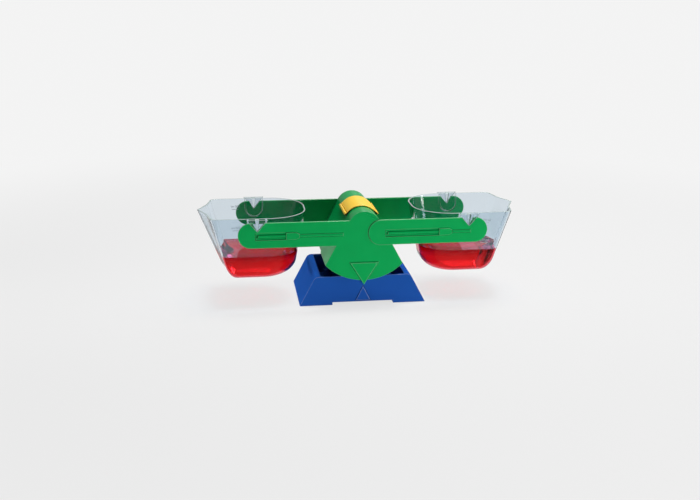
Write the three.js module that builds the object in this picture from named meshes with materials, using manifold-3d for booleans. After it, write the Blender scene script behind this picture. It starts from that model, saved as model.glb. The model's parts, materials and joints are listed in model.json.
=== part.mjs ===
// Toy bucket balance: two clear half-litre buckets hang in the V notches of a green beam,
// and the beam rocks on a steel axle carried by a post inside a blue base.
// Millimetres, +Z up, +X along the beam, +Y to the back, origin on the table under the middle.

import * as THREE from 'three';
import { mergeVertices } from 'three/addons/utils/BufferGeometryUtils.js';
import Module from 'manifold-3d';

const wasm = await Module();
wasm.setup();

const degrees = THREE.MathUtils.degToRad;

// Clearance between pieces that touch or turn in one another, overlap of joined forms,
// and the fineness of arcs.
const GAP = 0.3;
const MERGE = 1;
const ARC_STEPS = 14;
const ROUND_SIDES = 28;
const PIN_SIDES = 16;

// Beam, seen from the front and measured from the pivot axis.
const PIVOT_HEIGHT = 98.7;
const PLATE_FACE = 58.8;
const PLATE_THICKNESS = 4;
const BARREL_RADIUS = 20;
const BARREL_WALL = 2.5;
const FAN_RADIUS = 65.4;
const FAN_HALF_ANGLE = degrees(46);
const ARM_REACH = 150;
const ARM_HEIGHT = 30.6;
const ARM_DROP = 6.2;
const ARM_THICKNESS = 3;
const ARM_PROUD = 1.4;
const ARM_INNER_END = 4.7;

// V notches that carry the buckets: the bottom of each V is level with the pivot.
const NOTCH_FROM_END = 23;
const NOTCH_FLAT = 0.8;
const NOTCH_INNER_ANGLE = degrees(40);
const NOTCH_OUTER_ANGLE = degrees(27);

// Raised pointer on each fan plate.
const POINTER_TOP = 42.6;
const POINTER_OVERHANG = 6;
const POINTER_HALF_WIDTH = 17.7;
const POINTER_RISE = 1.2;

// Moulded relief along each arm: a channel with a round core, a sleeve and a thin rib.
const RELIEF_DROP = 1.2;
const RELIEF_HEIGHT = 8.6;
const RELIEF_DEPTH = 1.4;
const RELIEF_HOLE = 3;
const RELIEF_HOLE_WALL = 0.7;
const RELIEF_ROOT = 25.3;
const RELIEF_FROM_END = 20.5;
const CORE_RADIUS = 1.9;
const SLEEVE_LENGTH = 16;
const SLEEVE_RISE = 1.1;
const SLEEVE_TAPER = 4;
const RIB_RADIUS = 2.2;
const RIB_RISE = 0.9;
const LEFT_CHANNEL_LENGTH = 36.2;
const RIGHT_RIB_LENGTH = 23;

// Axle, and the dowels that join the two beam halves inside their side walls.
const AXLE_RADIUS = 2.5;
const AXLE_END_WALL = 1.2;
const BOSS_RADIUS = 6.5;
const DOWEL_RADIUS = 2;
const DOWEL_LENGTH = 6;
const DOWEL_BOSS_RADIUS = 3.8;
const DOWEL_BOSS_LENGTH = 26;
const DOWEL_RUN = 46;

// Pegs and screws that hold each lapped arm to its fan plate from inside.
const PEG_INSETS = [6.3, 15.3];
const PEG_DROP = 6.8;
const PEG_RADIUS = 2.6;
const PEG_HEAD_OVERLAP = 1.2;

// Zero-adjusting slider over the barrel, led by a key in a slot along the seam.
const SLIDER_HALF_ANGLE = degrees(64);
const SLIDER_HALF_WIDTH = 26;
const SLIDER_FORWARD = 8;
const SLIDER_WALL = 1.7;
const SLIDER_LIP_RISE = 1.6;
const SLIDER_LIP_ANGLE = degrees(6);
const SLIDER_END_ANGLE = degrees(12);
const SLIDER_END_LIFT = 0.9;
const SLIDER_TRAVEL = degrees(12);
const KEY_HALF_ANGLE = degrees(12);
const KEY_HALF_WIDTH = 3;
const KEY_FOOT_WIDTH = 3;
const KEY_FOOT_HEIGHT = 1.7;
const SLOT_MARGIN = degrees(2);

// Base shell.
const BASE_HALF_LENGTH = 77.6;
const BASE_TOP_HALF_LENGTH = 58.4;
const BASE_HEIGHT = 36.5;
const BASE_FAN_CLEARANCE = 4.3;
const BASE_CORNER_RADIUS = 5;
const BASE_WALL = 3;
const BASE_LAND = 7;
const FLOOR_UNDERSIDE = 6;
const ARCH_HALF_LENGTH = 37.4;
const ARCH_HEIGHT = 3.5;
const FOOT_LENGTH = 14;
const FOOT_DEPTH = 10;
const MARK_APEX_HEIGHT = 24;
const MARK_FOOT_HEIGHT = 5;
const MARK_HALF_WIDTH = 9.6;
const MARK_RISE = 1;

// Fulcrum post: a foot plate that fits the pocket, with two tapered cheeks that carry the axle.
const POST_MARGIN = 3.5;
const POST_FOOT_HEIGHT = 4;
const CHEEK_SETBACK = 5.7;
const CHEEK_THICKNESS = 4;
const CHEEK_TOP_RADIUS = 9;
const CHEEK_FOOT_HALF_LENGTH = 22;
const WEB_THICKNESS = 3;
const WEB_HEIGHT = 40;
const POST_SCREW_INSET = 12;
const POST_BOSS_RADIUS = 4.5;
const POST_BOSS_HEIGHT = 10;

// Self-tapping screws.
const SCREW_RADIUS = 1.3;
const SCREW_HEAD_RADIUS = 2.8;
const SCREW_HEAD_HEIGHT = 1.8;

// Buckets, measured outwards from the knife edge that hangs in the notch.
const BUCKET_INNER_REACH = 60.8;
const BUCKET_CORNER_REACH = 54.5;
const BUCKET_LIP_RUN = 5;
const BUCKET_LIP_HALF_DEPTH = 27;
const BUCKET_LIP_TURN = 0.25;
const BUCKET_SPOUT_RUN = 12.5;
const BUCKET_SPOUT_RADIUS = 3;
const BUCKET_ROUND_RADIUS = 46;
const BUCKET_CORNER_RADIUS = 8;
const BUCKET_SIDE_CLEARANCE = 0.5;
const BUCKET_RIM_RISE = 13.7;
const BUCKET_HEIGHT = 81;
const BUCKET_WALL = 1.8;
const BUCKET_FLOOR_SCALE = 0.68;
const BUCKET_DRAFT_CENTRE = -13;
const BUCKET_SPOUT_FADE = 0.5;
const HEEL_HEIGHT = 18;
const HEEL_SCALE = 0.62;
const HEEL_CENTRE = 9.4;
const HEEL_STEPS = 8;
const BUCKET_ARC_STEPS = 8;

// Hanging lugs of the buckets.
const LUG_HALF_WIDTH = 11.5;
const LUG_PAD_DROP = 24;
const KNIFE_TIP_HALF_WIDTH = 0.6;
const KNIFE_TOP_HALF_WIDTH = 2.4;
const GUARD_HALF_WIDTH = 12.6;
const GUARD_THICKNESS = 1.8;
const GUARD_CLEARANCE = 0.5;
const GUARD_TIP_DROP = 1;
const GUARD_HALF_ANGLE = degrees(41);

// Places that follow from the sizes above.
const PLATE_INSIDE = PLATE_FACE - PLATE_THICKNESS;
const ARM_FACE = PLATE_FACE + ARM_PROUD;
const ARM_TOP = ARM_HEIGHT / 2 - ARM_DROP;
const NOTCH_REACH = ARM_REACH - NOTCH_FROM_END;
const RELIEF_LEVEL = -ARM_DROP - RELIEF_DROP;
const PEG_LEVEL = -ARM_DROP - PEG_DROP;
const BASE_HALF_DEPTH = PLATE_INSIDE - BASE_FAN_CLEARANCE;
const POCKET_HALF_LENGTH = BASE_TOP_HALF_LENGTH - BASE_LAND;
const POCKET_HALF_DEPTH = BASE_HALF_DEPTH - BASE_WALL;
const POCKET_FLOOR = FLOOR_UNDERSIDE + BASE_WALL;
const CHEEK_OUTER = POCKET_HALF_DEPTH - CHEEK_SETBACK;
const CHEEK_INNER = CHEEK_OUTER - CHEEK_THICKNESS;
const POST_HALF_LENGTH = POCKET_HALF_LENGTH - POST_MARGIN;
const POST_HALF_DEPTH = POCKET_HALF_DEPTH - POST_MARGIN;
const POST_SCREW_X = POST_HALF_LENGTH - POST_SCREW_INSET;
const POST_SCREW_Y = CHEEK_INNER - POST_SCREW_INSET;
const POST_FOOT = POCKET_FLOOR + GAP;
const POST_BOSS_TOP = POST_FOOT + POST_FOOT_HEIGHT + POST_BOSS_HEIGHT;
const BUCKET_HALF_DEPTH = PLATE_FACE - ARM_THICKNESS - BUCKET_SIDE_CLEARANCE;
const GUARD_INNER = ARM_FACE + GUARD_CLEARANCE;

// The fan's straight sides are tangent to the barrel: this is how far above level they touch it.
const TANGENT_ANGLE = FAN_HALF_ANGLE + Math.acos(BARREL_RADIUS / FAN_RADIUS) - Math.PI / 2;

// Signs of the four corners of the base, in X and Y.
const CORNERS = [[-1, -1], [-1, 1], [1, -1], [1, 1]];

const plastic = (color, roughness) => new THREE.MeshStandardMaterial({ color, roughness, metalness: 0 });
const green = plastic(0x0e9b4c, 0.35);
const blue = plastic(0x1f4a97, 0.4);
const yellow = plastic(0xf0c848, 0.35);
const steel = new THREE.MeshStandardMaterial({ color: 0xb9bcc0, roughness: 0.3, metalness: 1 });
const clear = new THREE.MeshStandardMaterial({
  color: 0xdfe8ee,
  roughness: 0.08,
  metalness: 0,
  transparent: true,
  opacity: 0.35,
});

// Solids and meshes

function solidFrom(geometry) {
  geometry.deleteAttribute('normal');
  geometry.deleteAttribute('uv');
  const merged = mergeVertices(geometry);
  return new wasm.Manifold(new wasm.Mesh({
    numProp: 3,
    vertProperties: merged.attributes.position.array,
    triVerts: Uint32Array.from(merged.index.array),
  }));
}

function meshFrom(name, solid, material) {
  const { vertProperties, triVerts } = solid.getMesh();
  const geometry = new THREE.BufferGeometry();
  geometry.setAttribute('position', new THREE.BufferAttribute(vertProperties, 3));
  geometry.setIndex(new THREE.BufferAttribute(triVerts, 1));
  geometry.computeVertexNormals();
  const mesh = new THREE.Mesh(geometry, material);
  mesh.name = name;
  return mesh;
}

// A front-view shape, drawn in X and Z, made solid from yLow to yHigh, with chamfered edges.
function slab(shape, yLow, yHigh, chamfer = 0) {
  const geometry = new THREE.ExtrudeGeometry(shape, {
    depth: yHigh - yLow - 2 * chamfer,
    curveSegments: ARC_STEPS,
    bevelEnabled: chamfer > 0,
    bevelThickness: chamfer,
    bevelSize: chamfer,
    bevelOffset: -chamfer,
    bevelSegments: 1,
  });
  geometry.translate(0, 0, chamfer);
  geometry.rotateX(Math.PI / 2);
  geometry.translate(0, yHigh, 0);
  return solidFrom(geometry);
}

// The same slab at the front and, turned over, at the back.
function slabPair(shape, near, far) {
  return slab(shape, near, far).add(slab(shape, -far, -near));
}

function block([xLow, xHigh], [yLow, yHigh], [zLow, zHigh]) {
  const geometry = new THREE.BoxGeometry(xHigh - xLow, yHigh - yLow, zHigh - zLow);
  geometry.translate((xLow + xHigh) / 2, (yLow + yHigh) / 2, (zLow + zHigh) / 2);
  return solidFrom(geometry);
}

// The span from low to high on one side of the middle.
function sideSpan(side, low, high) {
  return side > 0 ? [low, high] : [-high, -low];
}

function rodX(radius, [xLow, xHigh], y, z) {
  const geometry = new THREE.CylinderGeometry(radius, radius, xHigh - xLow, PIN_SIDES);
  geometry.rotateZ(Math.PI / 2);
  geometry.translate((xLow + xHigh) / 2, y, z);
  return solidFrom(geometry);
}

function rodY(radius, [yLow, yHigh], x, z, sides = PIN_SIDES) {
  const geometry = new THREE.CylinderGeometry(radius, radius, yHigh - yLow, sides);
  geometry.translate(x, (yLow + yHigh) / 2, z);
  return solidFrom(geometry);
}

function rodZ(radius, [zLow, zHigh], x, y) {
  const geometry = new THREE.CylinderGeometry(radius, radius, zHigh - zLow, PIN_SIDES);
  geometry.rotateX(Math.PI / 2);
  geometry.translate(x, y, (zLow + zHigh) / 2);
  return solidFrom(geometry);
}

function polygon(points) {
  return new THREE.Shape(points.map(([x, z]) => new THREE.Vector2(x, z)));
}

function mirrored(shape) {
  return polygon(shape.getPoints(ARC_STEPS).map(({ x, y }) => [-x, y]));
}

// A ring sector about the pivot, with its angles counted clockwise from straight up.
function ringSector([innerRadius, outerRadius], [from, to]) {
  const shape = new THREE.Shape();
  shape.absarc(0, 0, outerRadius, Math.PI / 2 - to, Math.PI / 2 - from, false);
  shape.absarc(0, 0, innerRadius, Math.PI / 2 - from, Math.PI / 2 - to, true);
  return shape;
}

// Beam

// Where a line parallel to the fan's right side, at this distance from the pivot, ends on its arc.
function fanCorner(distance) {
  const angle = TANGENT_ANGLE - Math.acos(distance / FAN_RADIUS);
  return [FAN_RADIUS * Math.cos(angle), FAN_RADIUS * Math.sin(angle)];
}

function fanPlateShape() {
  const shape = new THREE.Shape();
  shape.absarc(0, 0, BARREL_RADIUS, TANGENT_ANGLE, Math.PI - TANGENT_ANGLE, false);
  shape.absarc(0, 0, FAN_RADIUS, -Math.PI / 2 - FAN_HALF_ANGLE, FAN_HALF_ANGLE - Math.PI / 2, false);
  return shape;
}

// Barrel and the two side walls below it, open at the bottom.
function housingShape() {
  const inner = BARREL_RADIUS - BARREL_WALL;
  const [outerX, outerZ] = fanCorner(BARREL_RADIUS);
  const [innerX, innerZ] = fanCorner(inner);
  const shape = new THREE.Shape();
  shape.moveTo(outerX, outerZ);
  shape.absarc(0, 0, BARREL_RADIUS, TANGENT_ANGLE, Math.PI - TANGENT_ANGLE, false);
  shape.lineTo(-outerX, outerZ);
  shape.lineTo(-innerX, innerZ);
  shape.absarc(0, 0, inner, Math.PI - TANGENT_ANGLE, TANGENT_ANGLE, true);
  shape.lineTo(innerX, innerZ);
  return shape;
}

// An arm that reaches to the right, round at both ends.
function armShape(innerEnd, growth = 0) {
  const radius = ARM_HEIGHT / 2;
  const shape = new THREE.Shape();
  shape.absarc(ARM_REACH - radius, -ARM_DROP, radius + growth, -Math.PI / 2, Math.PI / 2, false);
  shape.absarc(innerEnd + radius, -ARM_DROP, radius + growth, Math.PI / 2, 1.5 * Math.PI, false);
  return shape;
}

function notchShape() {
  const mouth = ARM_TOP + MERGE;
  return polygon([
    [NOTCH_REACH - NOTCH_FLAT, 0],
    [NOTCH_REACH + NOTCH_FLAT, 0],
    [NOTCH_REACH + NOTCH_FLAT + mouth * Math.tan(NOTCH_OUTER_ANGLE), mouth],
    [NOTCH_REACH - NOTCH_FLAT - mouth * Math.tan(NOTCH_INNER_ANGLE), mouth],
  ]);
}

// Cuts the channel and raises the core, sleeve and thin rib on an arm whose front is at y = face.
function withRelief(arm, face, [start, sleeveStart, ribStart, end]) {
  const half = RELIEF_HEIGHT / 2;
  const across = [RELIEF_LEVEL - half, RELIEF_LEVEL + half];
  const floor = face + RELIEF_DEPTH;
  const back = face + ARM_THICKNESS;
  const holeAcross = [RELIEF_LEVEL - RELIEF_HOLE / 2, RELIEF_LEVEL + RELIEF_HOLE / 2];
  const channel = block([start, sleeveStart], [face - MERGE, floor], across);
  const hole = block([start, start + RELIEF_HOLE], [face - MERGE, back - RELIEF_HOLE_WALL], holeAcross);
  const core = rodX(CORE_RADIUS, [start + RELIEF_HOLE, sleeveStart + MERGE], floor, RELIEF_LEVEL);
  const sleeve = slab(polygon([
    [sleeveStart, across[0]],
    [ribStart - SLEEVE_TAPER, across[0]],
    [ribStart, RELIEF_LEVEL - RIB_RADIUS],
    [ribStart, RELIEF_LEVEL + RIB_RADIUS],
    [ribStart - SLEEVE_TAPER, across[1]],
    [sleeveStart, across[1]],
  ]), face - SLEEVE_RISE, floor);
  const rib = rodX(RIB_RADIUS, [ribStart - MERGE, end], face - RIB_RISE + RIB_RADIUS, RELIEF_LEVEL);
  const behind = block([start, end], [back, back + 2 * RIB_RADIUS], across);
  const raised = core.add(sleeve).add(rib).subtract(behind);
  return arm.subtract(channel).subtract(hole).add(raised);
}

function leftArm() {
  const face = -PLATE_FACE;
  const start = RELIEF_FROM_END - ARM_REACH;
  const sleeveStart = start + LEFT_CHANNEL_LENGTH;
  const arm = slab(mirrored(armShape(0)), face, face + ARM_THICKNESS)
    .subtract(slab(mirrored(notchShape()), face - MERGE, face + ARM_THICKNESS + MERGE));
  return withRelief(arm, face, [start, sleeveStart, sleeveStart + SLEEVE_LENGTH, -RELIEF_ROOT]);
}

// Centre of the dowel on the right side wall, just inside it.
function dowelPlace() {
  const distance = BARREL_RADIUS - BARREL_WALL - DOWEL_BOSS_RADIUS + MERGE;
  const cos = Math.cos(TANGENT_ANGLE);
  const sin = Math.sin(TANGENT_ANGLE);
  return [distance * cos + DOWEL_RUN * sin, distance * sin - DOWEL_RUN * cos];
}

// Front half of the beam: fan plate, pointer, half of the barrel and side walls, and the left arm.
// The rear half is the same moulding turned about.
function beamHalf() {
  const face = -PLATE_FACE;
  const inside = -PLATE_INSIDE;
  const seam = -GAP / 2;
  const pointer = polygon([
    [-POINTER_HALF_WIDTH, -POINTER_TOP],
    [0, -FAN_RADIUS - POINTER_OVERHANG],
    [POINTER_HALF_WIDTH, -POINTER_TOP],
  ]);
  const bossEnd = -CHEEK_OUTER - 2 * GAP;
  const [dowelX, dowelZ] = dowelPlace();
  const dowelBoss = [-DOWEL_BOSS_LENGTH, seam];
  const slotAngle = KEY_HALF_ANGLE + SLIDER_TRAVEL + SLOT_MARGIN;
  const slot = ringSector([BARREL_RADIUS - 2 * BARREL_WALL, BARREL_RADIUS + MERGE], [-slotAngle, slotAngle]);
  const seatFloor = -ARM_FACE + ARM_THICKNESS + GAP;

  let half = slab(fanPlateShape(), face, inside)
    .add(slab(housingShape(), face, seam))
    .add(leftArm())
    .add(slab(pointer, face - POINTER_RISE, inside, POINTER_RISE))
    .add(rodY(BOSS_RADIUS, [inside - MERGE, bossEnd], 0, 0, ROUND_SIDES))
    .subtract(rodY(AXLE_RADIUS + GAP, [face + AXLE_END_WALL, bossEnd + MERGE], 0, 0, ROUND_SIDES))
    .add(rodY(DOWEL_BOSS_RADIUS, dowelBoss, dowelX, dowelZ))
    .add(rodY(DOWEL_BOSS_RADIUS, dowelBoss, -dowelX, dowelZ))
    .add(rodY(DOWEL_RADIUS, [-DOWEL_LENGTH, DOWEL_LENGTH], -dowelX, dowelZ))
    .subtract(rodY(DOWEL_RADIUS + GAP, [-DOWEL_LENGTH - 2 * GAP, MERGE], dowelX, dowelZ))
    .subtract(slab(slot, -KEY_HALF_WIDTH - GAP, MERGE))
    .subtract(slab(armShape(ARM_INNER_END, GAP), -ARM_FACE, seatFloor));
  for (const inset of PEG_INSETS) {
    const through = [face - MERGE, inside + MERGE];
    half = half.subtract(rodY(PEG_RADIUS + GAP, through, ARM_INNER_END + inset, PEG_LEVEL));
  }
  return half;
}

// Right arm of the front half, a piece of its own that laps into the fan plate on two pegs.
function lappedArm() {
  const face = -ARM_FACE;
  const back = face + ARM_THICKNESS;
  const end = ARM_REACH - RELIEF_FROM_END;
  const ribStart = end - RIGHT_RIB_LENGTH;
  const blank = slab(armShape(ARM_INNER_END), face, back)
    .subtract(slab(notchShape(), face - MERGE, back + MERGE));
  let arm = withRelief(blank, face, [RELIEF_ROOT, ribStart - SLEEVE_LENGTH, ribStart, end]);
  for (const inset of PEG_INSETS) {
    const x = ARM_INNER_END + inset;
    arm = arm
      .add(rodY(PEG_RADIUS, [back - MERGE, -PLATE_INSIDE], x, PEG_LEVEL))
      .subtract(rodY(SCREW_RADIUS + GAP, [back - MERGE, -PLATE_INSIDE + MERGE], x, PEG_LEVEL));
  }
  return arm;
}

// Screw driven from inside: its broad head bears on the plate round the peg.
function armScrew(inset) {
  const x = ARM_INNER_END + inset;
  const seat = -PLATE_INSIDE + GAP;
  const tip = -ARM_FACE + ARM_THICKNESS - MERGE + GAP;
  return rodY(SCREW_RADIUS, [tip, seat + MERGE], x, PEG_LEVEL)
    .add(rodY(PEG_RADIUS + PEG_HEAD_OVERLAP, [seat, seat + SCREW_HEAD_HEIGHT], x, PEG_LEVEL));
}

function axle() {
  const end = PLATE_FACE - AXLE_END_WALL - GAP;
  return rodY(AXLE_RADIUS, [-end, end], 0, 0, ROUND_SIDES);
}

// Arc over the barrel, lifted off it at both ends to clear the side walls, with a turned-up lip there.
function zeroSlider() {
  const inner = BARREL_RADIUS + GAP;
  const outer = inner + SLIDER_WALL;
  const footTop = BARREL_RADIUS - BARREL_WALL - GAP;
  const width = [-SLIDER_HALF_WIDTH - SLIDER_FORWARD, SLIDER_HALF_WIDTH - SLIDER_FORWARD];
  const footHalf = KEY_HALF_WIDTH + KEY_FOOT_WIDTH;
  const keyAngles = [-KEY_HALF_ANGLE, KEY_HALF_ANGLE];
  const lifted = inner + SLIDER_END_LIFT;
  const closeAngle = SLIDER_HALF_ANGLE - SLIDER_END_ANGLE;
  const lipAngle = SLIDER_HALF_ANGLE - SLIDER_LIP_ANGLE;
  const whole = [-SLIDER_HALF_ANGLE, SLIDER_HALF_ANGLE];
  return slab(ringSector([lifted, outer], whole), ...width)
    .add(slab(ringSector([inner, outer], [-closeAngle, closeAngle]), ...width))
    .add(slab(ringSector([lifted, outer + SLIDER_LIP_RISE], [lipAngle, SLIDER_HALF_ANGLE]), ...width))
    .add(slab(ringSector([lifted, outer + SLIDER_LIP_RISE], [-SLIDER_HALF_ANGLE, -lipAngle]), ...width))
    .add(slab(ringSector([footTop - MERGE, inner + MERGE], keyAngles), -KEY_HALF_WIDTH, KEY_HALF_WIDTH))
    .add(slab(ringSector([footTop - KEY_FOOT_HEIGHT, footTop], keyAngles), -footHalf, footHalf));
}

// Base and post

function baseProfile() {
  const lean = Math.atan2(BASE_HEIGHT, BASE_HALF_LENGTH - BASE_TOP_HALF_LENGTH);
  const cornerX = BASE_TOP_HALF_LENGTH + BASE_CORNER_RADIUS * Math.cos(lean);
  const cornerZ = BASE_HEIGHT - BASE_CORNER_RADIUS * Math.sin(lean);
  const topX = BASE_TOP_HALF_LENGTH - BASE_CORNER_RADIUS;
  const shape = new THREE.Shape();
  shape.moveTo(-BASE_HALF_LENGTH, 0);
  shape.lineTo(BASE_HALF_LENGTH, 0);
  shape.lineTo(cornerX, cornerZ);
  shape.quadraticCurveTo(BASE_TOP_HALF_LENGTH, BASE_HEIGHT, topX, BASE_HEIGHT);
  shape.lineTo(-topX, BASE_HEIGHT);
  shape.quadraticCurveTo(-BASE_TOP_HALF_LENGTH, BASE_HEIGHT, -cornerX, cornerZ);
  return shape;
}

// Hollow under the right sloping end, open to the table.
function endHollow() {
  const slope = (BASE_HALF_LENGTH - BASE_TOP_HALF_LENGTH) / BASE_HEIGHT;
  const skin = BASE_WALL * Math.hypot(1, slope);
  const ceiling = BASE_HEIGHT - BASE_WALL - BASE_CORNER_RADIUS / 2;
  const inner = POCKET_HALF_LENGTH + BASE_WALL;
  return polygon([
    [inner, -MERGE],
    [BASE_HALF_LENGTH + slope * MERGE - skin, -MERGE],
    [BASE_HALF_LENGTH - slope * ceiling - skin, ceiling],
    [inner, ceiling],
  ]);
}

function baseShell() {
  const depth = [-POCKET_HALF_DEPTH, POCKET_HALF_DEPTH];
  const under = POCKET_HALF_LENGTH + BASE_WALL + MERGE;
  const arch = [-BASE_HALF_DEPTH - MERGE, BASE_HALF_DEPTH + MERGE];
  const mark = polygon([
    [-MARK_HALF_WIDTH, MARK_FOOT_HEIGHT],
    [MARK_HALF_WIDTH, MARK_FOOT_HEIGHT],
    [0, MARK_APEX_HEIGHT],
  ]);
  let shell = slab(baseProfile(), -BASE_HALF_DEPTH, BASE_HALF_DEPTH)
    .subtract(block([-POCKET_HALF_LENGTH, POCKET_HALF_LENGTH], depth, [POCKET_FLOOR, BASE_HEIGHT + MERGE]))
    .subtract(slab(endHollow(), ...depth))
    .subtract(slab(mirrored(endHollow()), ...depth))
    .subtract(block([-under, under], depth, [-MERGE, FLOOR_UNDERSIDE]))
    .subtract(block([-ARCH_HALF_LENGTH, ARCH_HALF_LENGTH], arch, [-MERGE, ARCH_HEIGHT]))
    .add(slab(mark, -BASE_HALF_DEPTH - MARK_RISE, -POCKET_HALF_DEPTH, MARK_RISE))
    .add(slab(mark, POCKET_HALF_DEPTH, BASE_HALF_DEPTH + MARK_RISE, MARK_RISE));
  const holeSpan = [FLOOR_UNDERSIDE - MERGE, POCKET_FLOOR + MERGE];
  for (const [sideX, sideY] of CORNERS) {
    const foot = block(
      sideSpan(sideX, ARCH_HALF_LENGTH, ARCH_HALF_LENGTH + FOOT_LENGTH),
      sideSpan(sideY, POCKET_HALF_DEPTH - FOOT_DEPTH, POCKET_HALF_DEPTH + MERGE),
      [0, FLOOR_UNDERSIDE + MERGE],
    );
    const screwHole = rodZ(SCREW_RADIUS + GAP, holeSpan, sideX * POST_SCREW_X, sideY * POST_SCREW_Y);
    shell = shell.add(foot).subtract(screwHole);
  }
  return shell;
}

function fulcrumPost() {
  const plateTop = POST_FOOT + POST_FOOT_HEIGHT;
  const root = plateTop - MERGE;
  const cheek = new THREE.Shape();
  cheek.moveTo(-CHEEK_FOOT_HALF_LENGTH, root);
  cheek.lineTo(CHEEK_FOOT_HALF_LENGTH, root);
  cheek.absarc(0, PIVOT_HEIGHT, CHEEK_TOP_RADIUS, 0, Math.PI, false);
  const web = block(
    [-WEB_THICKNESS / 2, WEB_THICKNESS / 2],
    [-CHEEK_INNER - MERGE, CHEEK_INNER + MERGE],
    [root, plateTop + WEB_HEIGHT],
  );
  let post = block(
    [-POST_HALF_LENGTH, POST_HALF_LENGTH],
    [-POST_HALF_DEPTH, POST_HALF_DEPTH],
    [POST_FOOT, plateTop],
  ).add(slabPair(cheek, CHEEK_INNER, CHEEK_OUTER)).add(web);
  for (const [sideX, sideY] of CORNERS) {
    const x = sideX * POST_SCREW_X;
    const y = sideY * POST_SCREW_Y;
    post = post
      .add(rodZ(POST_BOSS_RADIUS, [root, POST_BOSS_TOP], x, y))
      .subtract(rodZ(SCREW_RADIUS + GAP, [POST_FOOT - MERGE, POST_BOSS_TOP - MERGE], x, y));
  }
  const bore = [-CHEEK_OUTER - MERGE, CHEEK_OUTER + MERGE];
  return post.subtract(rodY(AXLE_RADIUS + GAP, bore, 0, PIVOT_HEIGHT, ROUND_SIDES));
}

function postScrew(x, y) {
  const seat = FLOOR_UNDERSIDE - GAP;
  return rodZ(SCREW_HEAD_RADIUS, [seat - SCREW_HEAD_HEIGHT, seat], x, y)
    .add(rodZ(SCREW_RADIUS, [seat - MERGE, POST_BOSS_TOP - MERGE - GAP], x, y));
}

// Buckets

// Rim seen from above: a broad round inner end, straight sides and a pointed pouring lip.
function bucketOutline(inset) {
  const half = BUCKET_HALF_DEPTH - inset;
  const round = BUCKET_ROUND_RADIUS - inset;
  const inner = inset - BUCKET_INNER_REACH + round;
  const corner = BUCKET_CORNER_REACH - inset;
  const lip = corner + BUCKET_LIP_RUN;
  const spout = lip + BUCKET_SPOUT_RUN;
  const turnX = corner + BUCKET_LIP_RUN * BUCKET_LIP_TURN;
  const turnY = half - (half - BUCKET_LIP_HALF_DEPTH) * BUCKET_LIP_TURN;
  const tipX = spout - BUCKET_SPOUT_RADIUS;
  const shape = new THREE.Shape();
  shape.absarc(inner, round - half, round, Math.PI, 1.5 * Math.PI, false);
  shape.lineTo(corner - BUCKET_CORNER_RADIUS, -half);
  shape.quadraticCurveTo(corner, -half, turnX, -turnY);
  shape.lineTo(lip, -BUCKET_LIP_HALF_DEPTH);
  shape.lineTo(tipX, -BUCKET_SPOUT_RADIUS);
  shape.quadraticCurveTo(spout, 0, tipX, BUCKET_SPOUT_RADIUS);
  shape.lineTo(lip, BUCKET_LIP_HALF_DEPTH);
  shape.lineTo(turnX, turnY);
  shape.quadraticCurveTo(corner, half, corner - BUCKET_CORNER_RADIUS, half);
  shape.absarc(inner, half - round, round, Math.PI / 2, Math.PI, false);
  return shape;
}

// The rim outline drawn down to the floor: straight drafted walls, then a rounded heel.
function bucketSolid(inset, floor, top) {
  const geometry = new THREE.ExtrudeGeometry(bucketOutline(inset), {
    depth: HEEL_STEPS + 1,
    steps: HEEL_STEPS + 1,
    curveSegments: BUCKET_ARC_STEPS,
    bevelEnabled: false,
  });
  const position = geometry.attributes.position;
  for (let i = 0; i < position.count; i += 1) {
    const level = Math.round(position.getZ(i));
    const turn = level > HEEL_STEPS ? 0 : (1 - level / HEEL_STEPS) * (Math.PI / 2);
    const z = level > HEEL_STEPS ? top : floor + HEEL_HEIGHT * (1 - Math.sin(turn));
    const drop = (BUCKET_RIM_RISE - z) / BUCKET_HEIGHT;
    const draft = 1 - (1 - BUCKET_FLOOR_SCALE) * drop;
    const heel = 1 - (1 - HEEL_SCALE) * (1 - Math.cos(turn));
    const past = Math.max(0, position.getX(i) - BUCKET_CORNER_REACH);
    const x = position.getX(i) - past * BUCKET_SPOUT_FADE * drop;
    const drawn = BUCKET_DRAFT_CENTRE + (x - BUCKET_DRAFT_CENTRE) * draft;
    position.setXYZ(i, HEEL_CENTRE + (drawn - HEEL_CENTRE) * heel, position.getY(i) * draft * heel, z);
  }
  return solidFrom(geometry);
}

// U-shaped pad on each long wall, upright beside the arm.
function lugPadShape(inset) {
  const half = LUG_HALF_WIDTH - inset;
  const shape = new THREE.Shape();
  shape.absarc(0, BUCKET_RIM_RISE - LUG_PAD_DROP + LUG_HALF_WIDTH, half, Math.PI, 2 * Math.PI, false);
  shape.lineTo(half, BUCKET_RIM_RISE + inset);
  shape.lineTo(-half, BUCKET_RIM_RISE + inset);
  return shape;
}

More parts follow.
